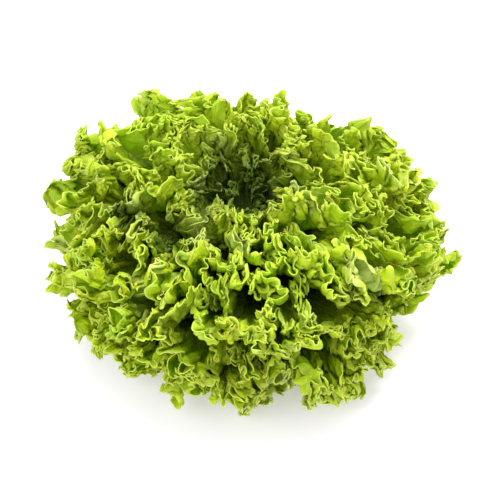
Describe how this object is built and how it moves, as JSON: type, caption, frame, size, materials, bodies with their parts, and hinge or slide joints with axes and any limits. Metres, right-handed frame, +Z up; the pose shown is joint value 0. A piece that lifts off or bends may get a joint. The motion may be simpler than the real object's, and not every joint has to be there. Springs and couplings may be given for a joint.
{
  "type": "lollo bionda lettuce",
  "caption": "Round loose-leaf lettuce head with tightly frilled yellow-green leaves around a sunken heart, on a short flat-cut stem.",
  "frame": {"origin": "middle of the stem's flat cut face, which the head stands on", "axes": "+Z up along the stem's axis, out of the heart; -Y is the side that the picture shows nearest, +X is to its right"},
  "size_m": [0.2809, 0.258, 0.1207],
  "materials": {
    "leaf": "satin",
    "stem": "matt"
  },
  "bodies": {
    "root": {"stem": "stem", "leaf_01": "leaf", "leaf_02": "leaf", "leaf_03": "leaf", "leaf_04": "leaf", "leaf_05": "leaf", "leaf_06": "leaf", "leaf_07": "leaf", "leaf_08": "leaf", "leaf_09": "leaf", "leaf_10": "leaf", "leaf_11": "leaf", "leaf_12": "leaf", "leaf_13": "leaf", "leaf_14": "leaf", "leaf_15": "leaf", "leaf_16": "leaf", "leaf_17": "leaf", "leaf_18": "leaf", "leaf_19": "leaf", "leaf_20": "leaf", "leaf_21": "leaf", "leaf_22": "leaf", "leaf_23": "leaf", "leaf_24": "leaf", "leaf_25": "leaf", "leaf_26": "leaf", "leaf_27": "leaf", "leaf_28": "leaf", "leaf_29": "leaf", "leaf_30": "leaf", "leaf_31": "leaf", "leaf_32": "leaf", "leaf_33": "leaf", "leaf_34": "leaf", "leaf_35": "leaf", "leaf_36": "leaf", "leaf_37": "leaf", "leaf_38": "leaf", "leaf_39": "leaf", "leaf_40": "leaf", "leaf_41": "leaf", "leaf_42": "leaf", "leaf_43": "leaf", "leaf_44": "leaf", "leaf_45": "leaf", "leaf_46": "leaf", "leaf_47": "leaf", "leaf_48": "leaf", "leaf_49": "leaf", "leaf_50": "leaf", "leaf_51": "leaf", "leaf_52": "leaf", "leaf_53": "leaf", "leaf_54": "leaf"}
  },
  "joints": []
}
